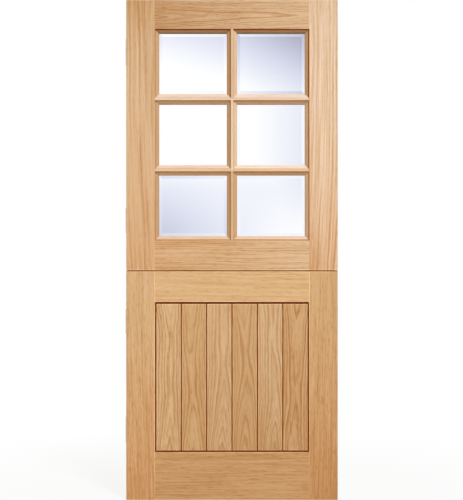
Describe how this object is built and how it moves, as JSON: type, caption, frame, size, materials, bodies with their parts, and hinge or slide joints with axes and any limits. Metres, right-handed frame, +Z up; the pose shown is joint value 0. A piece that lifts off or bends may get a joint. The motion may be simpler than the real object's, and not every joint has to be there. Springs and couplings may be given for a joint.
{
  "type": "dutch stable door",
  "caption": "Oak stable door in two leaves, a glazed upper leaf with bevelled panes over a boarded lower leaf, rebated where they meet and hung on butt hinges.",
  "frame": {"origin": "bottom of the lower leaf, in the middle of the leaf's width and about the middle of its thickness", "axes": "+X to the right seen from the front, +Y from the front face to the back, +Z up"},
  "size_m": [0.8442, 0.0562, 1.981],
  "materials": {
    "oak_stiles": "clear satin lacquer",
    "oak_rails": "clear satin lacquer",
    "oak_beads": "clear satin lacquer",
    "oak_boards": "clear satin lacquer",
    "dowel_beech": "bare wood",
    "clear_glass": "clear, bevelled",
    "spacer_aluminium": "mill finish",
    "block_rubber": "matte",
    "hinge_steel": "satin",
    "screw_steel": "satin"
  },
  "bodies": {
    "frame_side_hinges": {"frame_flap_1": "hinge_steel", "frame_flap_2": "hinge_steel", "frame_flap_3": "hinge_steel", "frame_flap_4": "hinge_steel", "hinge_pin_1": "hinge_steel", "hinge_pin_2": "hinge_steel", "hinge_pin_3": "hinge_steel", "hinge_pin_4": "hinge_steel"},
    "lower_leaf": {"lower_hinge_stile": "oak_stiles", "lower_lock_stile": "oak_stiles", "lower_head_rail": "oak_rails", "bottom_rail": "oak_rails", "lower_dowels": "dowel_beech", "board_1": "oak_boards", "board_2": "oak_boards", "board_3": "oak_boards", "board_4": "oak_boards", "board_5": "oak_boards", "board_6": "oak_boards", "leaf_flap_3": "hinge_steel", "leaf_flap_4": "hinge_steel", "lower_hinge_screws": "screw_steel"},
    "upper_leaf": {"upper_hinge_stile": "oak_stiles", "upper_lock_stile": "oak_stiles", "top_rail": "oak_rails", "upper_foot_rail": "oak_rails", "upright_bar": "oak_stiles", "upper_cross_bar": "oak_stiles", "lower_cross_bar": "oak_stiles", "pane_spacers": "spacer_aluminium", "setting_blocks": "block_rubber", "upper_dowels": "dowel_beech", "front_pane_1": "clear_glass", "front_pane_2": "clear_glass", "front_pane_3": "clear_glass", "front_pane_4": "clear_glass", "front_pane_5": "clear_glass", "front_pane_6": "clear_glass", "back_pane_1": "clear_glass", "back_pane_2": "clear_glass", "back_pane_3": "clear_glass", "back_pane_4": "clear_glass", "back_pane_5": "clear_glass", "back_pane_6": "clear_glass", "front_beads_1": "oak_beads", "front_beads_2": "oak_beads", "front_beads_3": "oak_beads", "front_beads_4": "oak_beads", "front_beads_5": "oak_beads", "front_beads_6": "oak_beads", "back_beads_1": "oak_beads", "back_beads_2": "oak_beads", "back_beads_3": "oak_beads", "back_beads_4": "oak_beads", "back_beads_5": "oak_beads", "back_beads_6": "oak_beads", "leaf_flap_1": "hinge_steel", "leaf_flap_2": "hinge_steel", "upper_hinge_screws": "screw_steel"}
  },
  "joints": [
    {"name": "lower_leaf_swing", "type": "hinge", "parent": "frame_side_hinges", "child": "lower_leaf", "pos_m": [-0.41975, 0.0287, 0.45], "axis": [0, 0, 1], "range_deg": [0, 90]},
    {"name": "upper_leaf_swing", "type": "hinge", "parent": "lower_leaf", "child": "upper_leaf", "pos_m": [-0.41975, 0.0287, 1.45], "axis": [0, 0, 1], "range_deg": [0, 90]}
  ]
}
